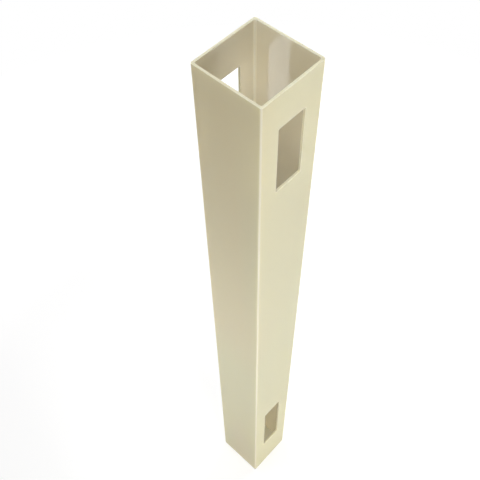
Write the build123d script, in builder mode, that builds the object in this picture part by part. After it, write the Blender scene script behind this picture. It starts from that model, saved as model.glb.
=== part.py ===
"""Line post of a vinyl fence: one hollow square extrusion, sawn to length and routed for its rails.

Sizes are in millimetres. The post stands on its lower end: +Z is up and the origin is the centre of
that end. The fence runs along X, so the rail slots go through the two walls that face along X, and the
two walls that face along Y are plain.
"""
import os

from build123d import *

# The extruded section
post_width = 101.6
wall_thickness = 3.43
outer_corner_radius = 3.2
inner_corner_radius = 2.6

# The length between the two saw cuts
post_length = 1219.2

# The slot for the top rail
top_slot_height = 107.95
top_slot_below_top = 50.8

# The slot for the bottom rail
bottom_slot_height = 184.15
bottom_slot_above_foot = 127.0

# What the two slots share: one cutter makes both at one width
slot_width = 44.45
cutter_radius = 1.6

# The small bevels that a deburring knife leaves, at the sawn ends and round the mouths of the slots
end_bevel = 0.5
slot_bevel = 0.4

# Worked out from the sizes above
hollow_width = post_width - 2 * wall_thickness
top_slot_centre = post_length - top_slot_below_top - top_slot_height / 2
bottom_slot_centre = bottom_slot_above_foot + bottom_slot_height / 2
slots = [(top_slot_centre, top_slot_height), (bottom_slot_centre, bottom_slot_height)]

os.makedirs("parts", exist_ok=True)

with BuildPart() as line_post:
    # The section is drawn at the foot and drawn up to the full length, as the extruder does it
    with BuildSketch(Plane.XY) as section:
        RectangleRounded(post_width, post_width, outer_corner_radius)
        RectangleRounded(hollow_width, hollow_width, inner_corner_radius, mode=Mode.SUBTRACT)
    extrude(amount=post_length)

    # Both saw cuts are deburred inside and outside, while their edges are still whole rings
    sawn_ends = line_post.faces().filter_by(Axis.Z)
    chamfer(sawn_ends.edges(), end_bevel)

    # Each slot is routed straight through both walls in one pass, so the two mouths line up
    for slot_centre, slot_height in slots:
        with BuildSketch(Plane.YZ) as slot_outline:
            with Locations((0, slot_centre)):
                RectangleRounded(slot_width, slot_height, cutter_radius)
        extrude(amount=post_width, both=True, mode=Mode.SUBTRACT)

        # Of the edges that the pass has just cut, those farthest out along X are the two mouths
        cut_edges = line_post.edges(Select.LAST).group_by(Axis.X)
        chamfer(cut_edges[0] + cut_edges[-1], slot_bevel)

line_post.part.label = "line_post"
export_step(line_post.part, "parts/line_post.step")
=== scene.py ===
"""Almond vinyl line post: the finish of the plastic, and a plain studio to show it in.

The file is laid out as an add-on and is run as a script. Lengths are in metres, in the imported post's own
frame: +Z is up, the origin is the centre of the lower end, and the two slotted walls face along X.
"""
import math

import bpy
from bpy.props import FloatProperty, FloatVectorProperty, PointerProperty
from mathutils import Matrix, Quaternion, Vector


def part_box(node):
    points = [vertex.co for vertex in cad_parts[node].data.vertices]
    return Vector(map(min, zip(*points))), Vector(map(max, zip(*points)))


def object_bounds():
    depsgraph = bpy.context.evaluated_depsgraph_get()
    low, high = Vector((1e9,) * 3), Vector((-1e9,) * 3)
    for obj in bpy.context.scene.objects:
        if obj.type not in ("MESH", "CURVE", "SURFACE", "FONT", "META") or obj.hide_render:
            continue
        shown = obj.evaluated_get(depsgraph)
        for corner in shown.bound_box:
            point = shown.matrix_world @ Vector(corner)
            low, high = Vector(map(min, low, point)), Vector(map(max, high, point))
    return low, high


bl_info = {
    "name": "Almond vinyl line post",
    "version": (1, 0, 0),
    "blender": (4, 5, 0),
    "location": "View3D > Sidebar > Line Post",
    "description": "Gives a routed fence post its vinyl finish and sets up a plain studio round it",
    "category": "Object",
}

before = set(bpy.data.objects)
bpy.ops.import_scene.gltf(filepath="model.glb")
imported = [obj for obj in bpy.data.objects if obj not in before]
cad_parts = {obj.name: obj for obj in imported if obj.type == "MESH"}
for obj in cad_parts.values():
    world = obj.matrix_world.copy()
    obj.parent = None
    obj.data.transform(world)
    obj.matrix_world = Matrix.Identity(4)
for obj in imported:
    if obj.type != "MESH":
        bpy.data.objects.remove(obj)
CAD_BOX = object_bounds()
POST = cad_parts["line_post"]

MILLIMETRE = 0.001

# Each soft lamp: its azimuth in degrees, then in metres its distance from the post's axis, its height,
# the height that it is aimed at, its width and its tallness
SOFTBOXES = {
    "key": (78, 1.3, 0.8, 0.8, 0.9, 1.1),
    "front": (28, 1.1, 1.3, 1.05, 0.6, 0.6),
    "fill": (-15, 0.45, 0.63, 0.63, 0.5, 0.64),
    "overhead": (-90, 0.35, 2.6, 1.2, 0.9, 0.9),
    "back": (180, 1.8, 0.9, 0.8, 1.4, 1.4),
    "back_left": (-90, 1.8, 0.9, 0.8, 1.4, 1.4),
}

# Corners of the mesh are on one level when they agree to this many decimals of a metre
LEVEL_DECIMALS = 6
SAME_LEVEL = 10**-LEVEL_DECIMALS
# Past this share of the half width a corner is in the wall, and within it one is clear of the post's edges
WALL_SHARE = 0.8
# The sawn ends' own corners are all nearer to the ends than this
END_DEPTH = 10 * MILLIMETRE

# The border between two finishes is moved by this much, so that no face lies right on it
BORDER_MARGIN = 0.05 * MILLIMETRE
# The ground's border between inside and outside is hidden in the wall, this far in from its outer face
HIDDEN_DEPTH = 2 * MILLIMETRE

# The skin's warm drift, partly a random tone of the pigment and partly painted warm shade: how often it
# changes in a metre along X, Y and Z, where in the noise it starts, and so which faces it makes a little
# warmer, and the values of the noise between which the tint changes
WARM_SHADE_DRIFTS_PER_METRE = (5.0, 5.0, 1.3)
WARM_SHADE_DRIFT_START = (18.9, 33.5, 77.8)
WARM_SHADE_DRIFT_RANGE = (0.42, 0.58)

# How often a mark changes in a metre along its own length
LINE_CHANGES = 1.5
TOOL_MARK_CHANGES = 12.0
# The slow waves are longer along the post, where they keep this share of their rhythm
WAVE_RHYTHM_SHARE = 0.4
# The values of the noise between which a draw line's sheen and a tool mark's tint change
LINE_RANGE = (0.3, 0.7)
TOOL_MARK_RANGE = (0.35, 0.65)
# How much smoother or rougher than its face a draw line is
LINE_SHEEN = 0.004

# The floor at two distances from the post, each (distance, share). What it gives back to the post has its
# distance in lit floor radii. The white of its own and the white that the lamps add have theirs in metres
GIVEN_BACK_NEAR, GIVEN_BACK_FAR = (0.5, 0.8), (2.5, 0.12)
OWN_WHITE_NEAR, OWN_WHITE_FAR = (0.7, 0.58), (1.3, 1.0)
LAMP_WHITE_NEAR, LAMP_WHITE_FAR = (0.7, 0.5), (1.6, 0.0)
FLOOR_HALF_WIDTH = 12.0

SENSOR_MILLIMETRES = 36.0
PURE_WHITE = (1.0, 1.0, 1.0, 1.0)
BLACK = (0.0, 0.0, 0.0, 1.0)


def from_display(red, green, blue):
    """A colour as a colour picker shows it, 0 to 255, as the linear values of the sRGB curve."""
    shares = [channel / 255 for channel in (red, green, blue)]
    return tuple(s / 12.92 if s <= 0.04045 else ((s + 0.055) / 1.055) ** 2.4 for s in shares)


def rgba(colour):
    """A colour of three values as a shader socket takes it."""
    return (*colour, 1.0)


class VinylSettings(bpy.types.PropertyGroup):
    """The post's colours and how its surfaces take the light."""

    skin_colour: FloatVectorProperty(
        name="Skin colour",
        description="Colour of the extruded outer faces at the top of the post",
        subtype="COLOR",
        min=0.0,
        max=1.0,
        default=from_display(223, 214, 174),
    )
    skin_foot_colour: FloatVectorProperty(
        name="Skin colour at the foot",
        description="The slightly stronger yellow that the outer faces have at the foot",
        subtype="COLOR",
        min=0.0,
        max=1.0,
        default=from_display(222, 214, 161),
    )
    # Partly a random tone of the pigment, partly painted warm shade
    skin_drift_and_shade_colour: FloatVectorProperty(
        name="Skin warm tint",
        # The slightly warmer tint that the skin drifts to in patches: partly a random tone, partly painted
        # warm shade
        description="The slightly warmer tint that the pigment drifts to in patches",
        subtype="COLOR",
        min=0.0,
        max=1.0,
        default=from_display(226, 208, 165),
    )
    hollow_colour: FloatVectorProperty(
        name="Hollow colour",
        description="Colour of the faces inside the post, which have no weathering cap layer",
        subtype="COLOR",
        min=0.0,
        max=1.0,
        default=from_display(226, 213, 184),
    )
    # Painted highlight: a paler colour laid on the rounded corners, outside and inside
    corner_highlight_colour: FloatVectorProperty(
        name="Corner colour",
        # Colour painted on the rounded corners as a paler line, a painted highlight
        description="Colour of the rounded corners, where the die polishes the plastic paler",
        subtype="COLOR",
        min=0.0,
        max=1.0,
        default=from_display(240, 228, 199),
    )
    cut_colour: FloatVectorProperty(
        name="Cut colour",
        description="Colour of the bare plastic where the post is sawn or routed",
        subtype="COLOR",
        min=0.0,
        max=1.0,
        default=from_display(255, 246, 218),
    )
    cut_mark_colour: FloatVectorProperty(
        name="Cut mark colour",
        description="Colour in the marks of the saw and the router, where the cut is smoothest",
        subtype="COLOR",
        min=0.0,
        max=1.0,
        default=from_display(247, 236, 206),
    )
    corner_highlight_start: FloatProperty(
        name="Corner start",
        # How far past the flat of the outer face the corner's painted highlight starts
        description="How far past the flat of the outer face the corner's paler colour starts",
        subtype="DISTANCE",
        unit="LENGTH",
        default=0.9 * MILLIMETRE,
    )
    inner_corner_highlight_start: FloatProperty(
        name="Inner corner start",
        description="The same inside the post, where it starts on the flat already",
        subtype="DISTANCE",
        unit="LENGTH",
        default=-0.8 * MILLIMETRE,
    )
    corner_highlight_fade: FloatProperty(
        name="Corner fade",
        # Distance over which the corner's painted highlight then comes in
        description="Distance over which the corner's paler colour then comes in",
        subtype="DISTANCE",
        unit="LENGTH",
        min=0.01 * MILLIMETRE,
        default=0.8 * MILLIMETRE,
    )
    skin_roughness: FloatProperty(
        name="Skin roughness",
        description="Roughness of the outer faces, which their draw lines vary a little",
        subtype="FACTOR",
        min=0.0,
        max=1.0,
        default=0.3,
    )
    hollow_roughness: FloatProperty(
        name="Hollow roughness",
        description="Roughness of the faces inside, where the die's mandrel has left them smooth",
        subtype="FACTOR",
        min=0.0,
        max=1.0,
        default=0.1,
    )
    hollow_gloss: FloatProperty(
        name="Hollow gloss",
        description="Weight of the clear sheen on the faces inside, in which a far slot is mirrored",
        subtype="FACTOR",
        min=0.0,
        max=1.0,
        default=1.0,
    )
    gloss_roughness: FloatProperty(
        name="Gloss roughness",
        description="Roughness of that sheen, which softens the edges of what it mirrors",
        subtype="FACTOR",
        min=0.0,
        max=1.0,
        default=0.075,
    )
    gloss_refraction: FloatProperty(
        name="Gloss refractive index",
        description="Refractive index of that sheen, which sets how strongly it mirrors",
        min=1.0,
        max=2.0,
        default=1.6,
    )
    cut_roughness: FloatProperty(
        name="Cut roughness",
        description="Roughness of the sawn and routed faces",
        subtype="FACTOR",
        min=0.0,
        max=1.0,
        default=0.6,
    )
    refraction: FloatProperty(
        name="Refractive index",
        description="Refractive index of rigid PVC, which sets how strongly it reflects",
        min=1.0,
        max=2.0,
        default=1.53,
    )
    translucency: FloatProperty(
        name="Translucency",
        description="Share of the light that goes into the plastic and comes out a little way off",
        subtype="FACTOR",
        min=0.0,
        max=1.0,
        default=1.0,
    )
    scatter_depth: FloatProperty(
        name="Scatter depth",
        description="Scale of the scattering inside the plastic, so deep that the wall glows a little",
        subtype="DISTANCE",
        unit="LENGTH",
        min=0.0,
        default=15 * MILLIMETRE,
    )
    cut_scatter_depth: FloatProperty(
        name="Cut scatter depth",
        description="The same scale where a tool has torn the surface, which turns the light back sooner",
        subtype="DISTANCE",
        unit="LENGTH",
        min=0.0,
        default=2 * MILLIMETRE,
    )
    draw_line_pitch: FloatProperty(
        name="Draw line pitch",
        description="Rough distance between the faint lines that the die leaves along the post",
        subtype="DISTANCE",
        unit="LENGTH",
        min=0.0002,
        default=1.6 * MILLIMETRE,
    )
    draw_line_depth: FloatProperty(
        name="Draw line depth",
        description="Depth of the die's lines",
        subtype="DISTANCE",
        unit="LENGTH",
        min=0.0,
        default=0.0012 * MILLIMETRE,
    )
    wave_length: FloatProperty(
        name="Wave length",
        description="Distance between the slow waves of a face that cooled unevenly",
        subtype="DISTANCE",
        unit="LENGTH",
        min=0.005,
        default=90 * MILLIMETRE,
    )
    wave_depth: FloatProperty(
        name="Wave depth",
        description="Depth of the slow waves",
        subtype="DISTANCE",
        unit="LENGTH",
        min=0.0,
        default=0.08 * MILLIMETRE,
    )
    saw_mark_pitch: FloatProperty(
        name="Saw mark pitch",
        description="Distance between the marks of the saw's teeth across a sawn end",
        subtype="DISTANCE",
        unit="LENGTH",
        min=0.0001,
        default=0.8 * MILLIMETRE,
    )
    cutter_mark_pitch: FloatProperty(
        name="Cutter mark pitch",
        description="Distance between the marks of the router's flutes round a slot",
        subtype="DISTANCE",
        unit="LENGTH",
        min=0.0001,
        default=0.6 * MILLIMETRE,
    )
    cut_mark_depth: FloatProperty(
        name="Cut mark depth",
        description="Depth of the saw's and the router's marks",
        subtype="DISTANCE",
        unit="LENGTH",
        min=0.0,
        default=0.05 * MILLIMETRE,
    )


class StudioSettings(bpy.types.PropertyGroup):
    """The floor, the lamps and where the camera stands. A level of 1 lights a colour to its own value."""

    floor_colour: FloatVectorProperty(
        name="Floor colour",
        description="Colour of the floor in the light that it gives back to the post",
        subtype="COLOR",
        min=0.0,
        max=1.0,
        default=from_display(240, 232, 208),
    )
    inner_ground_colour: FloatVectorProperty(
        name="Inner ground colour",
        description="What the ground inside the post gives off by itself, warm from the plastic round it",
        subtype="COLOR",
        min=0.0,
        max=1.0,
        default=from_display(146, 139, 110),
    )
    lit_floor_radius: FloatProperty(
        name="Lit floor radius",
        description="Distance past which the floor gives much less light back to the post",
        subtype="DISTANCE",
        unit="LENGTH",
        min=0.1,
        default=0.55,
    )
    room_level: FloatProperty(
        name="Room level",
        description="Level of the even light from all round",
        min=0.0,
        default=0.08,
    )
    key_level: FloatProperty(
        name="Key level",
        description="Level of the tall lamp that faces the slotted wall",
        min=0.0,
        default=0.94,
    )
    front_level: FloatProperty(
        name="Front level",
        description="Level of the lamp in front, which also shines in through the upper slot",
        min=0.0,
        default=0.15,
    )
    fill_level: FloatProperty(
        name="Fill level",
        description="Level of the low, near lamp in front of the plain wall",
        min=0.0,
        default=0.7,
    )
    overhead_level: FloatProperty(
        name="Overhead level",
        description="Level of the lamp above, which lights the rim and shines down the hollow",
        min=0.0,
        default=0.76,
    )
    back_level: FloatProperty(
        name="Back level",
        description="Level of the lamp behind the far plain wall, which glows through it a little",
        min=0.0,
        default=0.86,
    )
    back_left_level: FloatProperty(
        name="Back left level",
        description="Level of the lamp that faces the far slotted wall",
        min=0.0,
        default=0.37,
    )
    camera_azimuth: FloatProperty(
        name="Camera azimuth",
        description="Where the camera stands, turned from the plain wall towards the slotted wall",
        subtype="ANGLE",
        unit="ROTATION",
        default=math.radians(44.1),
    )
    camera_elevation: FloatProperty(
        name="Camera elevation",
        description="How steeply the camera looks down",
        subtype="ANGLE",
        unit="ROTATION",
        default=math.radians(55.68),
    )
    camera_roll: FloatProperty(
        name="Camera roll",
        description="Turn of the camera about its own line of sight",
        subtype="ANGLE",
        unit="ROTATION",
        default=math.radians(-1.33),
    )
    camera_distance: FloatProperty(
        name="Camera distance",
        description="From the camera to the point it aims at",
        subtype="DISTANCE",
        unit="LENGTH",
        min=0.1,
        default=0.9990,
    )
    camera_aim: FloatVectorProperty(
        name="Camera aim",
        description="The point that the camera looks at",
        subtype="TRANSLATION",
        unit="LENGTH",
        default=(-0.0166, -0.0161, 0.8872),
    )
    camera_lens: FloatProperty(
        name="Camera lens",
        description="Focal length on a sensor 36 mm wide, in millimetres",
        subtype="DISTANCE_CAMERA",
        unit="CAMERA",
        min=1.0,
        default=52.09,
    )


class PostShape:
    """What the finish has to know of the post's shape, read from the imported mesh."""

    def __init__(self):
        low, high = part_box(POST.name)
        corners = [vertex.co for vertex in POST.data.vertices]
        self.half_width = high.x
        self.middle = (low.z + high.z) / 2
        self.half_length = (high.z - low.z) / 2

        # The second level of corners above the foot is where the deburred edge of the sawn end stops
        levels = sorted({round(corner.z, LEVEL_DECIMALS) for corner in corners})
        self.end_bevel = levels[1] - levels[0]

        # Away from the post's own edges, only the slots have corners on or in the slotted walls
        clear = self.half_width * WALL_SHARE
        end_zone = self.half_length - END_DEPTH
        around_slots = [corner for corner in corners if abs(corner.y) < clear and corner.x > clear]
        around_slots = [corner for corner in around_slots if abs(corner.z - self.middle) < end_zone]
        self.hollow_half = min(corner.x for corner in around_slots)
        self.slot_half_width = max(corner.y for corner in around_slots)
        self.slots = self._spans(sorted(corner.z for corner in around_slots))

        # How far from its middle a wall stays flat, outside and inside: the rounded corners start there
        self.flat_outside = self._reach_across(corners, self.half_width)
        self.flat_inside = self._reach_across(corners, self.hollow_half)

    @staticmethod
    def _reach_across(corners, depth):
        """How far across the post the corners reach that lie this far out along X."""
        return max(corner.y for corner in corners if abs(corner.x - depth) < SAME_LEVEL)

    def _spans(self, heights):
        """(middle, half height) of each slot, from its corners' heights, split where the post is whole."""
        spans = []
        for in_lower_half in (True, False):
            part = [height for height in heights if (height < self.middle) == in_lower_half]
            spans.append(((part[0] + part[-1]) / 2, (part[-1] - part[0]) / 2))
        return spans


class Recipe:
    """Adds nodes to one shader tree and joins them, so that a finish reads from top to bottom."""

    def __init__(self, tree):
        self.tree = tree
        self.tree.nodes.clear()

    def add(self, kind, inputs=None, **settings):
        """A new node, with its settings made and its inputs joined or set."""
        node = self.tree.nodes.new(kind)
        for name, value in settings.items():
            setattr(node, name, value)
        for socket, value in (inputs or {}).items():
            if isinstance(value, bpy.types.NodeSocket):
                self.tree.links.new(value, node.inputs[socket])
            else:
                node.inputs[socket].default_value = value
        return node

    def math(self, operation, *values):
        """The result of one sum on values or sockets."""
        node = self.add("ShaderNodeMath", dict(enumerate(values)), operation=operation)
        return node.outputs[0]

    def map(self, value, from_low, from_high, to_low, to_high):
        """value moved from one range to another, and held at its ends."""
        inputs = {"Value": value, "From Min": from_low, "From Max": from_high}
        inputs.update({"To Min": to_low, "To Max": to_high})
        return self.add("ShaderNodeMapRange", inputs).outputs[0]

    def share(self, value, low, high):
        """How far value has come from low to high, as 0 to 1."""
        return self.map(value, low, high, 0.0, 1.0)

    def fade(self, distance, near, far):
        """A share that changes over a distance: near and far are each (distance, share)."""
        return self.map(distance, near[0], far[0], near[1], far[1])

    def stretch(self, vector, scale):
        """A place in space with each direction scaled by itself."""
        node = self.add("ShaderNodeVectorMath", {0: vector, 1: scale}, operation="MULTIPLY")
        return node.outputs[0]

    def noise(self, vector, detail=1.0):
        """A smooth random value between 0 and 1."""
        inputs = {"Vector": vector, "Scale": 1.0, "Detail": detail}
        return self.add("ShaderNodeTexNoise", inputs).outputs[0]

    def blend(self, share, first, second):
        """A value between two others."""
        node = self.add("ShaderNodeMix", {0: share, 2: first, 3: second}, data_type="FLOAT")
        return node.outputs[0]

    def tint(self, share, first, second):
        """A colour between two others."""
        node = self.add("ShaderNodeMix", {0: share, 6: first, 7: second}, data_type="RGBA")
        return node.outputs[2]

    def seen_directly(self):
        """1 for rays that show a surface to the camera, straight on, in a reflection or through glass."""
        path = self.add("ShaderNodeLightPath").outputs
        mirrored = self.math("MAXIMUM", path["Is Glossy Ray"], path["Is Transmission Ray"])
        return self.math("MAXIMUM", path["Is Camera Ray"], mirrored)


def find_zones(mix, settings, shape, place):
    """How far into each zone of the post a point is, from 0 to 1, by where it lies."""
    x, y, z = mix.add("ShaderNodeSeparateXYZ", {0: place}).outputs
    off_x = mix.math("ABSOLUTE", x)
    off_y = mix.math("ABSOLUTE", y)
    off_middle = mix.math("ABSOLUTE", mix.math("SUBTRACT", z, shape.middle))

    # Where the post is sawn: the ends with their deburred edges
    end_start = shape.half_length - shape.end_bevel + BORDER_MARGIN
    sawn = mix.math("GREATER_THAN", off_middle, end_start)

    # Where it is routed: what lies within a slot's outline and inside the thickness of the wall
    in_height = 0.0
    for middle, half_height in shape.slots:
        off_slot = mix.math("ABSOLUTE", mix.math("SUBTRACT", z, middle))
        in_this_slot = mix.math("LESS_THAN", off_slot, half_height - BORDER_MARGIN)
        in_height = mix.math("ADD", in_height, in_this_slot)
    in_width = mix.math("LESS_THAN", off_y, shape.slot_half_width - BORDER_MARGIN)
    in_wall = mix.math("GREATER_THAN", off_x, shape.hollow_half + BORDER_MARGIN)
    routed = mix.math("MULTIPLY", mix.math("MULTIPLY", in_height, in_width), in_wall)

    # The hollow's faces are nearer to the post's axis than the middle of the wall
    mid_wall = (shape.hollow_half + shape.half_width) / 2
    hollow = mix.math("LESS_THAN", mix.math("MAXIMUM", off_x, off_y), mid_wall)

    # The painted highlight on the rounded corners, outside and inside, starts near where the flat of the
    # wall ends
    flat_half = mix.blend(hollow, shape.flat_outside, shape.flat_inside)
    past_flat = mix.math("SUBTRACT", mix.math("MINIMUM", off_x, off_y), flat_half)
    highlight_from = mix.blend(hollow, settings.corner_highlight_start, settings.inner_corner_highlight_start)
    past_start = mix.math("SUBTRACT", past_flat, highlight_from)
    rounded = mix.share(mix.math("DIVIDE", past_start, settings.corner_highlight_fade), 0.0, 1.0)

    return {
        "cut": mix.math("MAXIMUM", sawn, routed),
        "routed": routed,
        "hollow": hollow,
        # rounded: where the painted highlight lies on the corners
        "rounded": rounded,
        "top": mix.share(z, 0.0, 2 * shape.half_length),
    }


def mark_cuts(mix, settings, place, routed):
    """Marks of the saw, which crosses the post along X, and of the router, which turns about X."""
    saw_rhythm = 1 / settings.saw_mark_pitch
    saw_place = mix.stretch(place, (TOOL_MARK_CHANGES, saw_rhythm, TOOL_MARK_CHANGES))
    cutter_rhythm = 1 / settings.cutter_mark_pitch
    cutter_place = mix.stretch(place, (TOOL_MARK_CHANGES, cutter_rhythm, cutter_rhythm))
    return mix.blend(routed, mix.noise(saw_place, detail=2.0), mix.noise(cutter_place))


def colour_vinyl(mix, settings, place, zones, cut_marks):
    """The colour of each zone: the skin with its drift, partly painted warm shade, the hollow, the corners
    with their painted highlight, and the cut faces.
    """
    drift_and_shade_place = mix.stretch(place, WARM_SHADE_DRIFTS_PER_METRE)
    drift_and_shade_place = mix.add("ShaderNodeVectorMath", {0: drift_and_shade_place, 1: WARM_SHADE_DRIFT_START}).outputs[0]
    drift_and_shade = mix.share(mix.noise(drift_and_shade_place), *WARM_SHADE_DRIFT_RANGE)
    skin = mix.tint(zones["top"], rgba(settings.skin_foot_colour), rgba(settings.skin_colour))
    # A warmer tint in patches, partly a random tone and partly painted warm shade
    skin = mix.tint(drift_and_shade, skin, rgba(settings.skin_drift_and_shade_colour))

    extruded = mix.tint(zones["hollow"], skin, rgba(settings.hollow_colour))
    # Painted highlight on the rounded corners, outside and inside
    extruded = mix.tint(zones["rounded"], extruded, rgba(settings.corner_highlight_colour))

    between_marks = mix.share(cut_marks, *TOOL_MARK_RANGE)
    bare = mix.tint(between_marks, rgba(settings.cut_mark_colour), rgba(settings.cut_colour))
    return mix.tint(zones["cut"], extruded, bare)


def make_vinyl(settings, shape):
    """The post's one material, which knows its skin, its hollow and its cut faces by where they are."""
    material = bpy.data.materials.new("almond_vinyl")
    material.use_nodes = True
    mix = Recipe(material.node_tree)
    place = mix.add("ShaderNodeTexCoord").outputs["Object"]
    zones = find_zones(mix, settings, shape, place)
    cut_marks = mark_cuts(mix, settings, place, zones["routed"])

    # Lines that the die draws along the post, and the slow waves of uneven cooling
    line_rhythm = 1 / settings.draw_line_pitch
    lines = mix.noise(mix.stretch(place, (line_rhythm, line_rhythm, LINE_CHANGES)))
    wave_rhythm = 1 / settings.wave_length
    wave_place = mix.stretch(place, (wave_rhythm, wave_rhythm, wave_rhythm * WAVE_RHYTHM_SHARE))
    waves = mix.noise(wave_place)

    # Roughness: the lines carry the sheen from one end to the other
    sheen = mix.map(lines, *LINE_RANGE, -LINE_SHEEN, LINE_SHEEN)
    face_roughness = mix.blend(zones["hollow"], settings.skin_roughness, settings.hollow_roughness)
    extruded_roughness = mix.math("ADD", face_roughness, sheen)
    roughness = mix.blend(zones["cut"], extruded_roughness, settings.cut_roughness)

    # Relief, in metres
    line_relief = mix.math("MULTIPLY", lines, settings.draw_line_depth)
    wave_relief = mix.math("MULTIPLY", waves, settings.wave_depth)
    extruded_relief = mix.math("ADD", line_relief, wave_relief)
    cut_relief = mix.math("MULTIPLY", cut_marks, settings.cut_mark_depth)
    relief = mix.blend(zones["cut"], extruded_relief, cut_relief)
    bump = mix.add("ShaderNodeBump", {"Strength": 1.0, "Distance": 1.0, "Height": relief})

    # Gloss: the faces inside have a clear sheen over the plastic, apart from the cut ones
    uncut = mix.math("SUBTRACT", 1.0, zones["cut"])
    gloss = mix.math("MULTIPLY", mix.math("MULTIPLY", zones["hollow"], uncut), settings.hollow_gloss)

    inputs = {
        "Base Color": colour_vinyl(mix, settings, place, zones, cut_marks),
        "Roughness": roughness,
        "IOR": settings.refraction,
        "Normal": bump.outputs[0],
        "Coat Weight": gloss,
        "Coat IOR": settings.gloss_refraction,
        "Coat Roughness": settings.gloss_roughness,
        "Subsurface Weight": settings.translucency,
        "Subsurface Radius": (1.0, 1.0, 1.0),
        "Subsurface Scale": mix.blend(zones["cut"], settings.scatter_depth, settings.cut_scatter_depth),
    }
    plastic = mix.add("ShaderNodeBsdfPrincipled", inputs)
    mix.add("ShaderNodeOutputMaterial", {"Surface": plastic.outputs[0]})
    return material


def make_floor_finish(settings):
    """A pale floor that lights the post softly, and that the camera sees as white but for the shadow."""
    material = bpy.data.materials.new("pale_floor")
    material.use_nodes = True
    mix = Recipe(material.node_tree)
    place = mix.add("ShaderNodeTexCoord").outputs["Object"]
    distance = mix.add("ShaderNodeVectorMath", {0: place}, operation="LENGTH").outputs["Value"]

    # The ground inside the post has a weak light of its own
    x, y, _ = mix.add("ShaderNodeSeparateXYZ", {0: place}).outputs
    off_axis = mix.math("MAXIMUM", mix.math("ABSOLUTE", x), mix.math("ABSOLUTE", y))
    outside = mix.math("GREATER_THAN", off_axis, CAD_BOX[1][0] - HIDDEN_DEPTH)
    inner_glow = mix.tint(outside, rgba(settings.inner_ground_colour), BLACK)

    # Further out the floor gives less light back, so the foot of the post is lit more than its top
    radius = settings.lit_floor_radius
    near, far = [(radius * radii, share) for radii, share in (GIVEN_BACK_NEAR, GIVEN_BACK_FAR)]
    given_back = mix.tint(mix.fade(distance, near, far), BLACK, rgba(settings.floor_colour))
    bounce = mix.add("ShaderNodeBsdfDiffuse", {"Color": given_back}).outputs[0]
    glow = mix.add("ShaderNodeEmission", {"Color": inner_glow, "Strength": 1.0}).outputs[0]
    bounce = mix.add("ShaderNodeAddShader", {0: bounce, 1: glow}).outputs[0]

    # What the camera sees: near the post part of the white is the floor's own, so that only a soft shadow
    # is left, and further out all of it is
    own_white = mix.tint(mix.fade(distance, OWN_WHITE_NEAR, OWN_WHITE_FAR), BLACK, PURE_WHITE)
    own_colour = mix.tint(outside, inner_glow, own_white)
    own = mix.add("ShaderNodeEmission", {"Color": own_colour, "Strength": 1.0}).outputs[0]
    lamp_white = mix.tint(mix.fade(distance, LAMP_WHITE_NEAR, LAMP_WHITE_FAR), BLACK, PURE_WHITE)
    lit = mix.add("ShaderNodeBsdfDiffuse", {"Color": lamp_white}).outputs[0]
    seen = mix.add("ShaderNodeAddShader", {0: own, 1: lit}).outputs[0]

    shaders = {0: mix.seen_directly(), 1: bounce, 2: seen}
    surface = mix.add("ShaderNodeMixShader", shaders).outputs[0]
    mix.add("ShaderNodeOutputMaterial", {"Surface": surface})
    return material


def add_floor(settings):
    """A level floor under the post."""
    half = FLOOR_HALF_WIDTH
    corners = [(-half, -half, 0), (half, -half, 0), (half, half, 0), (-half, half, 0)]
    mesh = bpy.data.meshes.new("floor")
    mesh.from_pydata(corners, [], [(0, 1, 2, 3)])
    floor = bpy.data.objects.new("floor", mesh)
    bpy.context.scene.collection.objects.link(floor)
    mesh.materials.append(make_floor_finish(settings))


def direction(azimuth, elevation):
    """Unit vector towards a place round the post: azimuth 0 is in front of the plain wall that faces -Y."""
    level = math.cos(elevation)
    return Vector((math.sin(azimuth) * level, -math.cos(azimuth) * level, math.sin(elevation)))


def add_softbox(name, level, azimuth, reach, height, aim_height, width, tallness):
    """A soft lamp round the post, which gives the point on the post's axis that it aims at its level."""
    lamp = bpy.data.lights.new(name, "AREA")
    lamp.shape = "RECTANGLE"
    lamp.size = width
    lamp.size_y = tallness
    softbox = bpy.data.objects.new(name, lamp)
    softbox.location = direction(math.radians(azimuth), 0.0) * reach + Vector((0.0, 0.0, height))
    away = softbox.location - Vector((0.0, 0.0, aim_height))
    lamp.energy = level * (math.pi * away.length) ** 2
    softbox.rotation_mode = "QUATERNION"
    softbox.rotation_quaternion = away.to_track_quat("Z", "Y")
    softbox.visible_camera = False
    softbox.visible_glossy = False
    bpy.context.scene.collection.objects.link(softbox)


def add_lamps(settings):
    """The soft lamps round the post."""
    for name, place in SOFTBOXES.items():
        add_softbox(name, getattr(settings, name + "_level"), *place)


def light_room(settings):
    """Weak even light from all round, which the camera sees as a white background."""
    world = bpy.data.worlds.new("room")
    world.use_nodes = True
    bpy.context.scene.world = world
    mix = Recipe(world.node_tree)
    even, white = [
        mix.add("ShaderNodeBackground", {"Color": PURE_WHITE, "Strength": level}).outputs[0]
        for level in (settings.room_level, 1.0)
    ]
    surface = mix.add("ShaderNodeMixShader", {0: mix.seen_directly(), 1: even, 2: white}).outputs[0]
    mix.add("ShaderNodeOutputWorld", {"Surface": surface})


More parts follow.
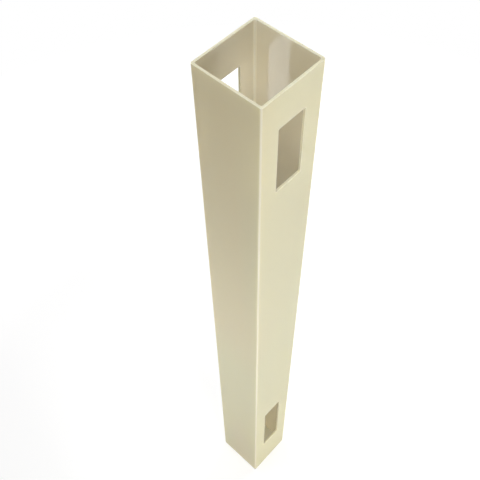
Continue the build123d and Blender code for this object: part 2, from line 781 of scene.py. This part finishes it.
def place_camera(settings):
    """The camera, looking steeply down past the front edge."""
    data = bpy.data.cameras.new("camera")
    data.lens = settings.camera_lens
    data.sensor_width = SENSOR_MILLIMETRES
    camera = bpy.data.objects.new("camera", data)
    back = direction(settings.camera_azimuth, settings.camera_elevation)
    camera.location = Vector(settings.camera_aim) + back * settings.camera_distance
    camera.rotation_mode = "QUATERNION"
    roll = Quaternion((0.0, 0.0, 1.0), settings.camera_roll)
    camera.rotation_quaternion = back.to_track_quat("Z", "Y") @ roll
    bpy.context.scene.collection.objects.link(camera)
    bpy.context.scene.camera = camera


class LINEPOST_OT_finish_post(bpy.types.Operator):
    """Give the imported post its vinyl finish"""

    bl_idname = "line_post.finish_post"
    bl_label = "Finish Post"

    def execute(self, context):
        finish = make_vinyl(context.scene.line_post_vinyl, PostShape())
        POST.material_slots[0].link = "OBJECT"
        POST.material_slots[0].material = finish
        return {"FINISHED"}


class LINEPOST_OT_set_stage(bpy.types.Operator):
    """Set up the floor, the lamps, the white room and the camera"""

    bl_idname = "line_post.set_stage"
    bl_label = "Set Stage"

    def execute(self, context):
        studio = context.scene.line_post_studio
        context.scene.view_settings.view_transform = "Standard"
        add_floor(studio)
        add_lamps(studio)
        light_room(studio)
        place_camera(studio)
        return {"FINISHED"}


class LINEPOST_PT_panel(bpy.types.Panel):
    """The post's settings and buttons, in the sidebar of the 3D view"""

    bl_idname = "LINEPOST_PT_panel"
    bl_label = "Line Post"
    bl_space_type = "VIEW_3D"
    bl_region_type = "UI"
    bl_category = "Line Post"

    def draw(self, context):
        scene = context.scene
        for settings, operator in (
            (scene.line_post_vinyl, LINEPOST_OT_finish_post),
            (scene.line_post_studio, LINEPOST_OT_set_stage),
        ):
            box = self.layout.box()
            for name in settings.__annotations__:
                box.prop(settings, name)
            box.operator(operator.bl_idname)


CLASSES = (
    VinylSettings,
    StudioSettings,
    LINEPOST_OT_finish_post,
    LINEPOST_OT_set_stage,
    LINEPOST_PT_panel,
)


def register():
    for cls in CLASSES:
        bpy.utils.register_class(cls)
    bpy.types.Scene.line_post_vinyl = PointerProperty(type=VinylSettings)
    bpy.types.Scene.line_post_studio = PointerProperty(type=StudioSettings)


def unregister():
    del bpy.types.Scene.line_post_studio
    del bpy.types.Scene.line_post_vinyl
    for cls in reversed(CLASSES):
        bpy.utils.unregister_class(cls)


def main():
    """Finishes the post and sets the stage."""
    register()
    bpy.ops.line_post.finish_post()
    bpy.ops.line_post.set_stage()


if __name__ == "__main__":
    main()
